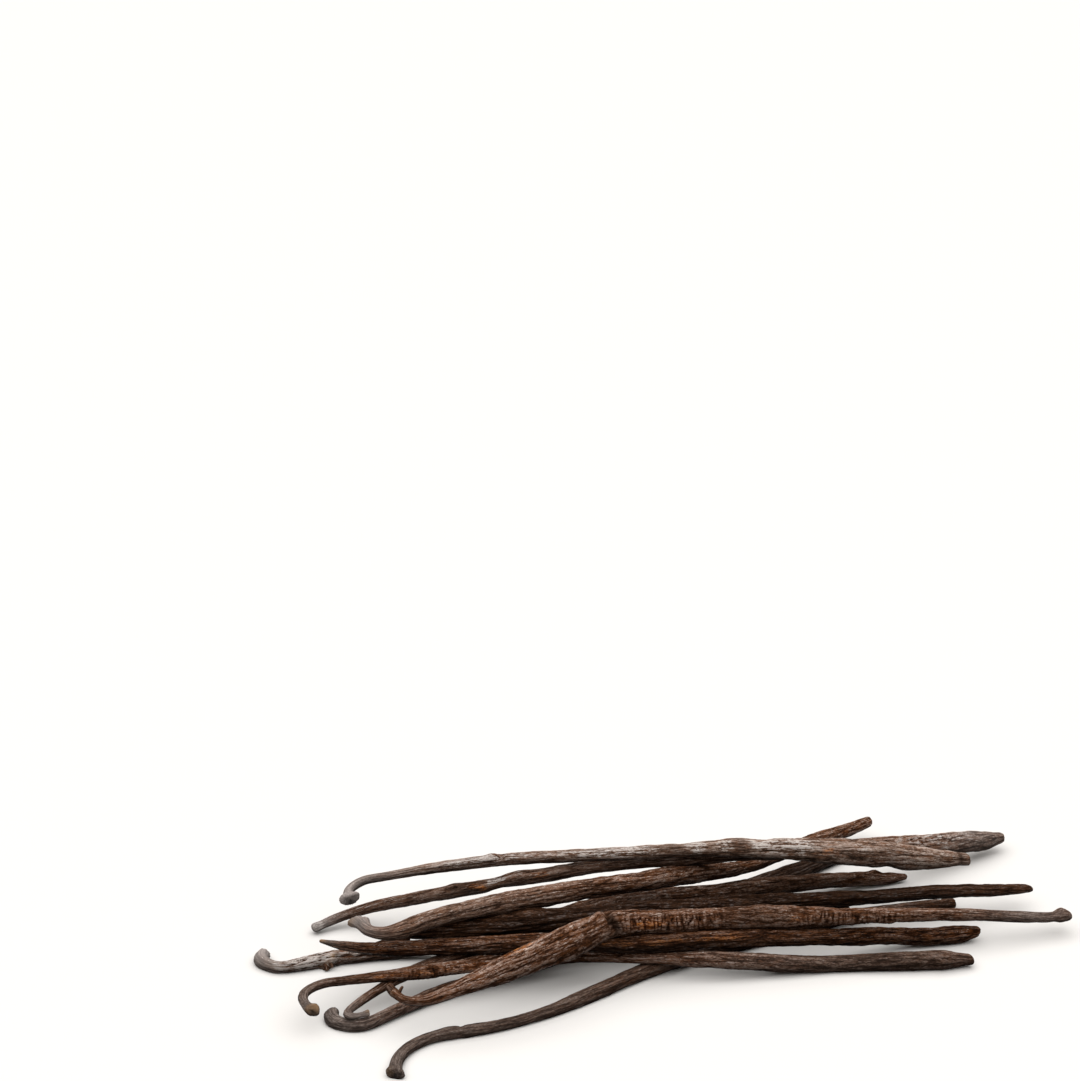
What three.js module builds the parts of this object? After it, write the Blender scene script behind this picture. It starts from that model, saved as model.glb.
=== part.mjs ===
import * as THREE from "three";

// A heap of eleven dried vanilla pods, as they lie on a table.
// Millimetres, +Z up. The pods run along X, with their stem ends towards -X.

// Driving dimensions
const SIDES = 12; // corners round a pod
const BODY_STEP = 4.1; // between two rings along the body
const BEND_STEP = 1.7; // between two rings round a hook or near a tip
const TIP_LENGTH = 4; // the last stretch of a pod, which is closed with finer rings
const STATION_STEP = 2; // between the places where a pod's height is worked out
const GAP = 0.35; // clear space between two pods that touch
const PRESSED = 0.15; // how far an underside is flattened by the table
const DROOP = 0.0022; // sag of a free stretch: mm for each square mm of its reach
const EVENNESS = 6; // a pod is too stiff to follow bumps shorter than this
const FURROWS = 3; // broad furrows that run along a dried pod
const FURROW_DEPTH = 0.1; // of the half width
const FURROW_TURN = 0.035; // radians that the furrows wind for each mm of length

// Slow and quick waves in a pod's width: share of the width, mm for each radian, and radians
// by which the next pod's wave is shifted.
const SWELLS = [
  { height: 0.03, stretch: 9, shift: 2 },
  { height: 0.021, stretch: 4.1, shift: 5 },
];

const STRAIGHT = { radius: 0, turn: 0, tail: 0 }; // the hook of a pod that has none

// The pods, from the lowest to the highest.
// route: where the pod lies, seen from above, from the stem to the tip.
// hook: the bend of the stem before the route: its radius, its turn in degrees, and the
// straight tail beyond it.
// sections: [mm from the stem end, width, thickness, roll in degrees].
// caps: how far the middle of the stem's and of the tip's end face stands out.
const PODS = [
  {
    name: "pod_low_front",
    color: "#43342c",
    route: [
      [-54.5, -46.5], [-42, -42.5], [-29, -35.5], [-17.5, -26.5], [-5, -16.5], [8.5, -7.5],
      [24.5, 0.5], [39.5, 8], [56.5, 15], [77, 20],
    ],
    hook: { radius: 16, turn: 76, tail: 1.5 },
    sections: [
      [0, 3.6, 2.9, 0], [3, 3.1, 2.6, 0], [20, 3, 2.6, 0], [50, 3.4, 2.9, 0],
      [70, 4.2, 3.5, 0], [100, 4.6, 3.9, 0], [155, 3.8, 3.2, 0], [171, 3.2, 2.7, 0],
    ],
    caps: [0.4, 0.8],
  },
  {
    name: "pod_low_cross",
    color: "#45352c",
    route: [
      [-72, -41], [-67, -37], [-58.5, -30.5], [-47, -22.5], [-22, -5], [2, 11.5], [19.5, 24],
      [34.5, 34.5], [52.5, 49.5],
    ],
    hook: { radius: 6.4, turn: -118, tail: 0.5 },
    sections: [
      [0, 3, 2.6, 0], [5, 3, 2.6, 0], [25, 3.7, 3.1, 0], [50, 4.5, 3.8, 0],
      [95, 5, 4.2, 0], [140, 5.4, 4.4, 0], [167, 4.3, 3.6, 0],
    ],
    caps: [0.2, 1.2],
  },
  {
    name: "pod_curled_stem",
    color: "#4a3a31",
    route: [
      [-94.5, -13.5], [-82.5, -9.5], [-67.5, -6.5], [-47.5, -7], [-27.5, -5.5], [-8, -1.5],
      [6.5, 1.5], [26.5, 3], [48, 7],
    ],
    hook: { radius: 5, turn: -122, tail: 0.8 },
    sections: [
      [0, 2.8, 2.5, 0], [8, 3.1, 2.7, 0], [20, 4.3, 3.6, 0], [35, 4.1, 3.4, 0],
      [80, 4.5, 3.8, 0], [140, 4.6, 3.9, 0], [157, 4, 3.4, 0],
    ],
    caps: [0.8, 1.2],
  },
  {
    name: "pod_bent_stem",
    color: "#41322a",
    route: [
      [-77, -40], [-75.5, -36.5], [-71, -31.5], [-62.5, -25.5], [-51.5, -20.5], [-39, -13],
      [-26, -3.5], [-12, 5.5], [4.5, 13.5], [21, 19.5], [38, 25.5], [53.5, 31.5], [66, 34.5],
    ],
    hook: { radius: 1.5, turn: 135, tail: 2.2 },
    sections: [
      [0, 2.2, 1.9, 0], [6, 2.3, 2, 0], [20, 2.6, 2.3, 0], [35, 4.1, 3.4, 0],
      [50, 4.6, 3.9, 0], [80, 5, 4.1, 0], [110, 4.4, 3.7, 0], [140, 5.1, 4, 0],
      [155, 4.6, 3.8, 0], [163, 4, 3.2, 0], [168, 2, 1.6, 0],
    ],
    caps: [0.4, 0.8],
  },
  {
    name: "pod_open_hook",
    color: "#48372d",
    route: [
      [-82.5, -32.5], [-71, -31], [-54, -26.5], [-37, -20.5], [-21.5, -15.5], [-9.5, -16],
      [10, -16.5], [27.5, -15], [43.5, -13], [59.5, -12], [77, -11],
    ],
    hook: { radius: 6.8, turn: 120, tail: 1.2 },
    sections: [
      [0, 3.1, 2.6, 0], [4, 2.6, 2.3, 0], [25, 2.7, 2.4, 0], [36, 3.5, 2.9, 0],
      [65, 3.6, 3, 0], [86, 3.2, 2.8, 0], [110, 4.4, 3.7, 0], [125, 5, 4.2, 0],
      [150, 4.9, 4.1, 0], [165, 5.4, 4.5, 0], [173, 5.2, 4.3, 0], [177, 4, 3.4, 0],
    ],
    caps: [0.1, 0.7],
  },
  {
    name: "pod_thin_stem",
    color: "#3f3029",
    route: [
      [-86, -16.5], [-78.5, -20.5], [-69, -23], [-51.5, -22.5], [-28, -18.5], [1.5, -15.5],
      [27.5, -11], [46, -6.5], [62.5, -1.5], [80.5, 2.5],
    ],
    sections: [
      [0, 1, 0.9, 0], [4, 2, 1.8, 0], [10, 2.9, 2.6, 0], [18, 4.2, 3.6, 0],
      [35, 4.6, 3.9, 0], [95, 4.8, 4.1, 0], [155, 5, 4.2, 0], [166, 5, 4.2, 0],
      [170, 3.7, 3.2, 0],
    ],
    caps: [0.5, 0.9],
  },
  {
    name: "pod_broad",
    color: "#3d2e27",
    route: [
      [-69.5, -17.5], [-54.5, -17], [-37, -15], [-19.5, -10], [0.5, -1.5], [18.5, 3], [43, 6],
      [67.5, 12], [97, 21.5],
    ],
    sections: [
      [0, 3, 2.6, 0], [10, 5.2, 4.6, 0], [35, 6.4, 5.5, 0], [65, 5.4, 4.6, 0],
      [110, 4.9, 4.2, 0], [140, 3.9, 3.4, 0], [163, 3.5, 3, 0], [170, 2.6, 2, 0],
      [172, 1.2, 1, 0],
    ],
    caps: [0.8, 0.5],
  },
  {
    name: "pod_leaning",
    color: "#46362d",
    route: [
      [-66.5, -26], [-59.5, -22], [-42.5, -14.5], [-23, -5.5], [-7, 2.5], [7, 12], [19.5, 20.5],
      [30.5, 30.5], [43.5, 45], [58.5, 60],
    ],
    hook: { radius: 5.5, turn: -88, tail: 5.5 },
    sections: [
      [0, 3, 2.5, 0], [8, 3, 2.6, 0], [16, 4.4, 3.8, 0], [30, 5.2, 4.4, 0],
      [75, 5.7, 4.8, 0], [95, 5.5, 4.6, 0], [115, 4, 3.4, 0], [158, 4, 3.4, 0],
      [166, 3, 2.6, 0],
    ],
    caps: [0.3, 0.6],
  },
  {
    name: "pod_back",
    color: "#44342c",
    route: [
      [-89.5, 6], [-82.5, 10], [-75, 11], [-62.5, 8.5], [-45, 6.5], [-27, 8], [-9, 10],
      [15.5, 14.5], [42.5, 22.5], [67, 37.5], [94, 53],
    ],
    sections: [
      [0, 2.4, 2, 0], [10, 3.1, 2.7, 0], [50, 4, 3.4, 0], [80, 3.8, 3.3, 0],
      [110, 4.4, 3.7, 0], [155, 5.6, 4.6, 0], [172, 6.4, 5.2, 0], [185, 6, 4.9, 0],
      [191, 3.6, 3, 0],
    ],
    caps: [0.6, 0.9],
  },
  {
    name: "pod_top_back",
    color: "#4b3c33",
    route: [
      [-75, 6.5], [-65.5, 8], [-41.5, 8.5], [-15.5, 8], [14.5, 11], [43, 14], [62, 17.5],
      [80, 20.5],
    ],
    hook: { radius: 5.2, turn: 100, tail: 2.2 },
    sections: [
      [0, 3.6, 2.8, 0], [3, 2.8, 2.5, 0], [18, 2.7, 2.3, 0], [35, 3.5, 3, 0],
      [65, 3.8, 3.2, 0], [95, 4.6, 3.9, 0], [112, 5.6, 4.5, 10], [125, 6.4, 4.8, 25],
      [140, 7.2, 5.2, 35], [155, 6.2, 4.9, 20], [163, 4.7, 3.8, 0], [168, 3.7, 3.1, 0],
    ],
    caps: [0.3, -0.5],
  },
  {
    name: "pod_top_front",
    color: "#483930",
    route: [
      [-57, -44.5], [-46.5, -40], [-38, -35], [-25.5, -26], [-20, -21], [-14.5, -16.5],
      [1, -13.5], [25, -9], [49, -5.5], [73.5, 0.5], [96.5, 5], [101.5, 6], [105, 8],
    ],
    hook: { radius: 6.5, turn: -80, tail: 5 },
    sections: [
      [0, 2, 1.6, 0], [10, 2.5, 2.1, 0], [20, 4.3, 3.4, 20], [35, 6.5, 4.6, 40],
      [50, 7.8, 5, 45], [65, 6.6, 4.8, 35], [80, 6.2, 4.8, 25], [110, 6, 4.6, 20],
      [125, 4.9, 4, 10], [155, 3.7, 3.2, 0], [175, 2.8, 2.5, 0], [183, 2.6, 2.3, 0],
      [186, 3.6, 2.8, 0], [188, 2.4, 2, 0],
    ],
    caps: [0.8, 0.5],
  },
];

// The length of a hook's bend.
function bendLength({ radius, turn }) {
  return radius * Math.abs(THREE.MathUtils.degToRad(turn));
}

// The pod seen from above: points about STATION_STEP apart, from the stem to the tip.
function planPath({ route, hook = STRAIGHT }) {
  const corners = route.map(([x, y]) => new THREE.Vector3(x, y, 0));
  const spine = new THREE.CatmullRomCurve3(corners, false, "centripetal");
  const path = spine.getSpacedPoints(Math.round(spine.getLength() / STATION_STEP));
  const outward = spine.getTangent(0).negate();
  const bend = bendLength(hook);
  const steps = Math.ceil((2 * (bend + hook.tail)) / STATION_STEP);
  const step = (bend + hook.tail) / steps;
  const point = path[0].clone();
  for (let i = 0; i < steps; i += 1) {
    const turned = Math.min(1, (step * (i + 0.5)) / bend) * THREE.MathUtils.degToRad(hook.turn);
    const heading = Math.atan2(outward.y, outward.x) + turned;
    point.x += step * Math.cos(heading);
    point.y += step * Math.sin(heading);
    path.unshift(point.clone());
  }
  return path;
}

// A function of the distance along a pod that gives its half width, half thickness and roll.
function sectionRule({ sections }, order, length) {
  const scale = length / sections.at(-1)[0];
  const places = sections.map((row) => row[0] * scale);
  const curve = new THREE.CubicInterpolant(places, sections.flatMap((row) => row.slice(1)), 3);
  return (along) => {
    const [width, thickness, roll] = curve.evaluate(along);
    let swell = 1;
    for (const { height, stretch, shift } of SWELLS) {
      swell += height * Math.sin(along / stretch + shift * order);
    }
    return {
      broad: (width * swell) / 2,
      thin: (thickness * swell) / 2,
      roll: THREE.MathUtils.degToRad(roll),
    };
  };
}

// The heights of a pod's stations above the table, when it is laid on the pods already lying.
function restingHeights(stations, lying) {
  const supports = stations.map((here) => {
    let lowest = here.high - PRESSED;
    for (const there of lying) {
      const reach = here.wide + there.wide + GAP;
      const apart = Math.hypot(here.x - there.x, here.y - there.y);
      if (apart < reach) {
        const lift = (here.high + there.high + GAP) * Math.sqrt(1 - (apart / reach) ** 2);
        lowest = Math.max(lowest, there.z + lift);
      }
    }
    return lowest;
  });
  const hung = stations.map((here) =>
    Math.max(...supports.map((z, i) => z - DROOP * (here.along - stations[i].along) ** 2)),
  );
  return stations.map((here) => {
    let sum = 0;
    let weights = 0;
    stations.forEach(({ along }, i) => {
      const weight = Math.exp(-(((here.along - along) / EVENNESS) ** 2) / 2);
      sum += weight * hung[i];
      weights += weight;
    });
    return sum / weights;
  });
}

// The stations of one pod, with their places, extents and heights.
function layPod(pod, order, lying) {
  const path = planPath(pod);
  let along = 0;
  const stations = path.map((point, i) => {
    along += i ? point.distanceTo(path[i - 1]) : 0;
    return { along, x: point.x, y: point.y };
  });
  const section = sectionRule(pod, order, along);
  for (const station of stations) {
    const { broad, thin, roll } = section(station.along);
    station.wide = Math.hypot(broad * Math.cos(roll), thin * Math.sin(roll));
    station.high = Math.hypot(broad * Math.sin(roll), thin * Math.cos(roll));
  }
  const heights = restingHeights(stations, lying);
  stations.forEach((station, i) => {
    station.z = heights[i];
  });
  return { ...pod, order, stations, section, length: along };
}

// The middle of a laid pod at a distance from its stem end.
function middleAt({ stations }, along) {
  const next = Math.max(1, stations.findIndex((station) => station.along >= along));
  const [from, to] = [stations[next - 1], stations[next]];
  const share = (along - from.along) / (to.along - from.along);
  return new THREE.Vector3(from.x, from.y, from.z).lerp(new THREE.Vector3(to.x, to.y, to.z), share);
}

// The distances along a pod where its rings stand: close in a hook and near the tip.
function ringPlaces({ hook = STRAIGHT, length }) {
  const hooked = bendLength(hook) + hook.tail;
  const bodyEnd = length - TIP_LENGTH;
  const spread = (from, to, step) => {
    const count = Math.ceil((to - from) / step);
    return Array.from({ length: count }, (_, i) => from + ((to - from) * i) / count);
  };
  return [
    ...spread(0, hooked, BEND_STEP),
    ...spread(hooked, bodyEnd, BODY_STEP),
    ...spread(bodyEnd, length, BEND_STEP),
    length,
  ];
}

// The closed skin of a laid pod: a pole, its rings of corners and the other pole.
function podGeometry(pod) {
  const up = new THREE.Vector3(0, 0, 1);
  const corners = [];
  const middles = [];
  const directions = [];
  for (const along of ringPlaces(pod)) {
    const middle = middleAt(pod, along);
    const ahead = middleAt(pod, Math.min(along + 1, pod.length));
    const direction = ahead.sub(middleAt(pod, Math.max(along - 1, 0))).normalize();
    const side = new THREE.Vector3().crossVectors(direction, up).normalize();
    const rise = new THREE.Vector3().crossVectors(side, direction);
    const { broad, thin, roll } = pod.section(along);
    for (let i = 0; i < SIDES; i += 1) {
      const angle = (2 * Math.PI * i) / SIDES;
      const furrow = Math.cos(FURROWS * angle + FURROW_TURN * along + pod.order);
      const reach = 1 - (FURROW_DEPTH * (1 - furrow)) / 2;
      const across = new THREE.Vector2(broad * Math.cos(angle), thin * Math.sin(angle));
      across.multiplyScalar(reach).rotateAround(new THREE.Vector2(), -roll);
      const corner = middle.clone().addScaledVector(side, across.x).addScaledVector(rise, across.y);
      corner.z = Math.max(corner.z, 0);
      corners.push(corner);
    }
    middles.push(middle);
    directions.push(direction);
  }
  const [stemCap, tipCap] = pod.caps;
  const stem = middles[0].clone().addScaledVector(directions[0], -stemCap);
  const tip = middles.at(-1).clone().addScaledVector(directions.at(-1), tipCap);
  const lastRing = corners.length - SIDES;
  const faces = [];
  for (let i = 0; i < SIDES; i += 1) {
    const next = (i + 1) % SIDES;
    faces.push([corners.length, i, next]);
    faces.push([corners.length + 1, lastRing + next, lastRing + i]);
    for (let ring = 0; ring < lastRing; ring += SIDES) {
      faces.push([ring + i, ring + SIDES + i, ring + next]);
      faces.push([ring + next, ring + SIDES + i, ring + SIDES + next]);
    }
  }
  const geometry = new THREE.BufferGeometry().setFromPoints([...corners, stem, tip]);
  geometry.setIndex(faces.flat());
  geometry.computeVertexNormals();
  return geometry;
}

function podMesh(pod) {
  const skin = new THREE.MeshStandardMaterial({
    color: pod.color,
    roughness: 0.55,
    metalness: 0,
  });
  const mesh = new THREE.Mesh(podGeometry(pod), skin);
  mesh.name = pod.name;
  return mesh;
}

const heap = new THREE.Group();
const lying = [];
PODS.forEach((pod, order) => {
  const laid = layPod(pod, order, lying);
  lying.push(...laid.stations);
  heap.add(podMesh(laid));
});

// The origin is on the table, under the middle of the heap.
const box = new THREE.Box3().setFromObject(heap);
heap.position.set(-(box.min.x + box.max.x) / 2, -(box.min.y + box.max.y) / 2, 0);

export default heap;
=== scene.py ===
"""A heap of eleven dried vanilla pods on a pale table.

Each pod's wrinkled skin is drawn over its plain solid. The skin's fine folds are made by one tree
of geometry nodes, and its scars, torn ends and stains are listed pod by pod.
Lengths are in millimetres until a mesh is made, and along is measured from a pod's stem end.
"""

import math

import bmesh
import bpy
import numpy as np
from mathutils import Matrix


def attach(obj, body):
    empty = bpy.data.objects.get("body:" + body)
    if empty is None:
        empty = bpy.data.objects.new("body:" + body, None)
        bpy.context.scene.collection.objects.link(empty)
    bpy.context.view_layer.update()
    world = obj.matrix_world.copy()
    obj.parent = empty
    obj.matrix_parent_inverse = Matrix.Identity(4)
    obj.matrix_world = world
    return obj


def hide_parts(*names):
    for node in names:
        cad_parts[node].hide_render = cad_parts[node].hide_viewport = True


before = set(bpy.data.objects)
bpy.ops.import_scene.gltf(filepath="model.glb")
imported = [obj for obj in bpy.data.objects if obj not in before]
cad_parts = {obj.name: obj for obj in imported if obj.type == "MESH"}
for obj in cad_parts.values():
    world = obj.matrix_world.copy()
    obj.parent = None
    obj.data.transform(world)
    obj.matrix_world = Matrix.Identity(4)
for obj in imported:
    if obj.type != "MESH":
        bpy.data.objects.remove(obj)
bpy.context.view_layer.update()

MM = 0.001
SIDES = 12  # corners in each ring of a pod's solid
WAVES = 5  # waves round a pod that its solid's corners can tell apart
RING_STEP = 0.6  # between two rings of the fine skin
RIBBED_STEP = 0.28  # where it is ribbed
SIDE_STEP = 0.1  # between two points round it
SPACING_SAMPLES = 2000  # places along a pod where the space between rings is worked out
END_STEPS = (0.06, 0.14, 0.25, 0.4, 0.58, 0.78)  # rings of an end face, from its rim inwards
RIM = 0.25  # share of an end face that is its rounded rim
STRAND_KNOTS = 6  # places along a torn end where its form is given
STRAND_FLATNESS = 0.2  # how much flatter than round it is
CUT_FADE = 1.8  # how far from its end a slanting cut still leans
TURN = 2 * math.pi

# The pods, from the lowest to the highest.
# slot: the finish. seed: moves the pattern. twist: radians that the folds wind for each mm.
# folds and wrinkles: how deep they are against the usual.
# ends: how far the stem's and the tip's end face stand out: (at the rim, in the middle).
# cuts: (end, degrees, height): how far a slanting end face leans out on one side.
# faces: (end, kind, strength): a stain all over an end face. The stem end is 0 and the tip 1.
# shifts: (along, length, (x, y, z)): how far a stretch lies off its plain solid's middle.
# marks: (along, degrees, length, spread in degrees, height): scars, knobs, dents and notches.
# strands: (start, end, radius at the start, at the end, bend): torn ends and thin points.
# stains: (kind, along, degrees, length, spread in degrees, strength).
# Degrees go round a pod from its front over the top.
PODS = {
    "pod_low_front": {
        "slot": "grey_brown_skin", "seed": 1.7, "twist": 0.006, "folds": 0.6, "wrinkles": 0.8,
        "ends": ((0.3, -0.3), (0.5, 0.8)), "cuts": [(0, -20, 0.6)],
        "marks": [
            (0.2, 0, 0.9, 360, 0.05), (0.5, 178, 1.1, 34, 0.5), (0, -8, 1, 36, 0.35),
            (27.2, 80, 0.55, 65, -0.5), (24.2, 100, 2.6, 60, 0.45), (30, 100, 3, 60, 0.2),
            (28.2, -60, 1.2, 50, 0.25), (63, -70, 8, 60, 0.3), (155, 90, 9, 60, -0.45),
            (168.6, 60, 0.5, 90, -0.35), (170.6, 0, 1.2, 360, 0.25),
        ],
        "stains": [
            ("dark", 60, 0, 90, 360, 0.4), ("dark", 95, -40, 40, 70, 0.3),
            ("grey", 0, 0, 8, 360, 0.5), ("grey", 20, 0, 55, 360, 0.75),
            ("tan", 0, 178, 0.8, 50, 0.3),
        ],
    },
    "pod_low_cross": {
        "slot": "brown_skin", "seed": 5.1, "twist": -0.008, "folds": 0.9, "wrinkles": 0.9,
        "ends": ((0.15, -0.9), (0.5, 1.2)), "cuts": [(0, 160, 0.4)], "faces": [(0, "dark", 1.0)],
        "shifts": [(30, 17, (0, 1.1, 0.5))],
        "marks": [
            (0, 0, 1.2, 360, 0.25), (0.5, 162, 1, 45, 0.3), (2.8, -46, 2.6, 60, 0.75),
            (8, -60, 4, 60, 0.35),
        ],
        "stains": [
            ("grey", 0, 0, 20, 360, 1.0), ("grey", 110, 0, 60, 360, 0.3),
            ("dark", 140, 0, 50, 360, 0.8), ("amber", 34, 10, 9, 60, 0.5),
            ("dark", 160, -10, 16, 90, 0.5),
        ],
    },
    "pod_curled_stem": {
        "slot": "grey_brown_skin", "seed": 8.3, "twist": 0.01, "folds": 1.1, "wrinkles": 1.9,
        "ends": ((0.3, 0.3), (0.5, 1.2)), "cuts": [], "shifts": [(2, 5, (-0.8, 0, 0))],
        "marks": [
            (2.5, 0, 3.6, 360, 0.45), (3.2, -25, 3, 65, 0.2), (7.5, -60, 3, 60, 0.2),
            (20.4, -44, 1.0, 22, 1.5), (21.2, -5, 0.8, 26, 1.0), (22.2, 35, 0.8, 26, 0.9),
            (23.4, 75, 0.9, 28, 0.7), (19.2, 20, 1, 40, -0.4), (24.6, 10, 1.2, 50, -0.35),
        ],
        "strands": [
            ((-87.0, -10.2, 1.3), (-86.7, -11.9, 0.5), 0.8, 0.45, 0.1),
            ((-86.1, -10.3, 1.8), (-85.3, -11.7, 1.2), 0.65, 0.3, 0.15),
        ],
        "stains": [
            ("grey", 0, 0, 9, 360, 1.0), ("pale", 0, 0, 8, 360, 1.0),
            ("tan", 20.8, -38, 1.2, 36, 1.0), ("tan", 22.4, 40, 0.9, 22, 0.5),
            ("frost", 15, 40, 12, 140, 1.0), ("frost", 34, 50, 10, 90, 0.7),
        ],
    },
    "pod_bent_stem": {
        "slot": "brown_skin", "seed": 12.9, "twist": -0.005, "folds": 1.0, "wrinkles": 1.0,
        "ends": ((0.2, 0.1), (0.4, 0.8)), "cuts": [(0, 76, 0.1)], "faces": [(0, "tan", 0.3)],
        "shifts": [(5, 3, (-0.9, -0.2, 0))],
        "marks": [
            (2, 0, 5, 360, -0.35), (4.4, -150, 1.1, 45, 0.55), (0, 60, 0.8, 50, 0.3),
            (161.5, 90, 1.4, 45, 0.8), (164.5, 90, 1, 50, -0.2), (152, -85, 9, 55, -0.4),
            (133, -80, 9, 50, 0.3), (62, 95, 10, 50, -0.4),
        ],
        "stains": [
            ("pale", 70, 50, 50, 360, 0.5), ("dark", 138, 0, 18, 360, 0.75),
            ("amber", 100, 60, 18, 70, 0.5), ("grey", 0, 0, 9, 360, 1.0),
            ("frost", 2.4, 60, 2.5, 80, 0.7), ("amber", 17, -20, 7, 50, 0.7),
            ("tan", 0, 70, 0.7, 70, 0.4),
        ],
    },
    "pod_open_hook": {
        "slot": "brown_skin", "seed": 17.3, "twist": 0.009, "folds": 1.0, "wrinkles": 1.0,
        "ends": ((0.15, -0.3), (0.8, 1.3)), "cuts": [(0, -40, 1.4), (1, -40, 0.5)],
        "faces": [(0, "tan", 0.55)], "shifts": [(7, 5, (-0.6, 0, 0))],
        "marks": [
            (2, 0, 3, 360, -0.3), (0, 48, 0.8, 35, 0.45), (0, -130, 0.8, 40, 0.3),
            (1.4, -133, 1.2, 45, 0.3), (40, 60, 5, 50, 0.3), (38, -60, 8, 55, 0.55),
            (116.2, 24, 0.6, 30, -0.6), (114.6, 24, 1, 35, 0.3), (118.2, 30, 1.4, 35, 0.3),
            (171.6, 40, 1.4, 70, 0.3), (176.6, 0, 3.4, 360, -0.4), (57, 110, 6, 45, 1.0),
        ],
        "stains": [
            ("grey", 0, 0, 14, 360, 1.0), ("dark", 15, 0, 11, 360, 0.4),
            ("amber", 37, 10, 9, 70, 0.7), ("amber", 54, 30, 10, 45, 0.85),
            ("amber", 27, 30, 5, 45, 0.6), ("ribbed", 40, 20, 9, 90, 0.8),
            ("tan", -0.3, 38, 0.7, 50, 0.5), ("frost", 150, 30, 12, 60, 0.5),
            ("frost", 173.9, 32, 1.2, 40, 0.6), ("grey", 150, 0, 38, 360, 0.6),
            ("dark", 162, 0, 28, 360, 0.65), ("dark", 90, 0, 60, 360, 0.15),
        ],
    },
    "pod_thin_stem": {
        "slot": "dark_skin", "seed": 21.6, "twist": -0.01, "folds": 1.2, "wrinkles": 1.5,
        "ends": ((0.3, 0.5), (0.5, 0.8)), "cuts": [(1, 70, 0.9)], "shifts": [(171, 6, (0, 0, 0.3))],
        "marks": [
            (8, 60, 3, 60, 0.2), (45, -69, 7, 50, 0.7), (98, 105, 18, 55, 0.6),
            (91, -69, 6, 45, 0.5), (138.9, 16, 0.7, 28, -0.45), (136.6, 30, 1.2, 35, 0.25),
            (141, 10, 1.2, 35, 0.25), (168.6, 40, 1, 40, 0.35), (166.4, 30, 0.7, 50, -0.4),
        ],
        "stains": [
            # Its lower flanks are darkened as painted shade.
            ("dark", 40, -60, 60, 70, 0.6), ("dark", 110, -40, 60, 60, 0.5),
            ("grey", 0, 0, 7, 360, 0.8), ("tan", 0, 90, 1.4, 90, 0.8),
            ("dark", 85, 0, 35, 120, 0.55), ("amber", 84, 28, 12, 34, 1.0),
            ("amber", 103, 40, 9, 34, 0.9), ("amber", 70, 40, 5, 30, 0.8),
            ("frost", 140, 25, 5, 55, 0.7),
        ],
    },
    "pod_broad": {
        "slot": "dark_skin", "seed": 26.2, "twist": 0.004, "folds": 1.2, "wrinkles": 1.4,
        "ends": ((0.4, 0.8), (0.3, 0.9)), "cuts": [(1, -10, 0.8)],
        "marks": [
            (130, 90, 11, 60, -0.6), (104, 90, 8, 50, 0.3), (171, 60, 1.6, 70, 0.55),
            (172.4, 0, 1, 360, 0.3), (36, 95, 8, 50, 0.7),
        ],
        "strands": [((-65.6, -15.9, 11.4), (-75.8, -17.4, 9.3), 1.8, 0.9, 0.4)],
        "stains": [
            # Darkened as painted shade where it lies under the leaning pod, and darker along its
            # far part.
            ("dark", 55, 0, 60, 130, 1.0), ("dark", 120, 0, 70, 360, 0.9),
            ("amber", 112, 45, 9, 40, 0.9), ("frost", 60, 60, 26, 40, 0.35),
        ],
    },
    "pod_leaning": {
        "slot": "brown_skin", "seed": 31.4, "twist": 0.007, "folds": 1.0, "wrinkles": 1.1,
        "ends": ((0.25, -0.1), (0.3, 0.6)), "cuts": [(0, -38, 0.6), (1, 90, 1.0)],
        "marks": [
            (0, 0, 1.2, 360, 0.2), (0.2, -20, 1.2, 50, 0.55), (2.9, 132, 1.5, 50, 0.95),
            (5, -50, 1.5, 50, 0.2), (17, -75, 7, 45, 0.55), (33, 18, 20, 7, -0.45),
            (62, 35, 16, 7, -0.35), (48, 12, 12, 6, -0.3), (96, 100, 11, 50, 0.55),
            (50, -66, 8, 45, 0.45),
        ],
        "stains": [
            ("pale", 25, 60, 35, 360, 1.0), ("amber", 84, 30, 14, 60, 0.4),
            ("grey", 0, 0, 7, 360, 0.9), ("tan", 0.2, -20, 1.1, 60, 0.6),
            ("amber", 50, -10, 14, 25, 0.5), ("frost", 70, 75, 25, 40, 0.5),
        ],
    },
    "pod_back": {
        "slot": "brown_skin", "seed": 36.8, "twist": -0.006, "folds": 0.9, "wrinkles": 1.0,
        "ends": ((0.4, 0.6), (1.5, 2.1)), "cuts": [],
        "shifts": [(18, 15, (0, 0, -0.65)), (184, 12, (0, 0, 0.8)), (199, 4, (-0.7, 0, 0))],
        "marks": [
            (0.4, 0, 1.2, 360, 0.15), (44.4, 30, 1.1, 28, 1.3), (46.6, 5, 0.9, 26, 0.9),
            (42.6, 50, 1, 28, 0.35), (49.5, 60, 2, 80, -0.4), (53, -40, 4, 70, -0.35),
            (56.5, 70, 3.8, 60, 0.85), (51, -70, 2.6, 60, -0.4), (39.5, 80, 2.4, 50, 0.35),
            (66, -30, 5, 60, 0.35), (70, 95, 4, 50, 0.35), (27, 60, 1.2, 30, 0.35),
            (31, 30, 0.9, 26, 0.3), (95, 60, 22, 55, -0.8), (101, -68, 11, 50, 0.5),
            (184, 90, 9, 70, 0.3), (198, -60, 1.5, 60, 0.1),
        ],
        "stains": [
            ("pale", 60, 40, 80, 360, 1.0), ("frost", 12, 60, 24, 90, 0.7),
            ("frost", 180, 50, 22, 100, 0.5), ("grey", 0, 0, 6, 360, 0.9),
            ("frost", 0.4, 0, 1.6, 360, 1.0), ("amber", 44.2, 35, 2.4, 40, 0.9),
            ("amber", 47, 5, 1.6, 34, 0.9), ("dark", 43, 10, 3, 60, 0.5),
            ("frost", 49.5, 70, 2.5, 50, 1.0), ("dark", 53, -20, 5, 60, 0.5),
            ("amber", 62, 25, 5, 50, 0.8), ("frost", 56, 60, 6, 60, 0.7),
            ("frost", 150, 70, 45, 80, 0.45), ("frost", 78, 70, 12, 70, 0.4),
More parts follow.
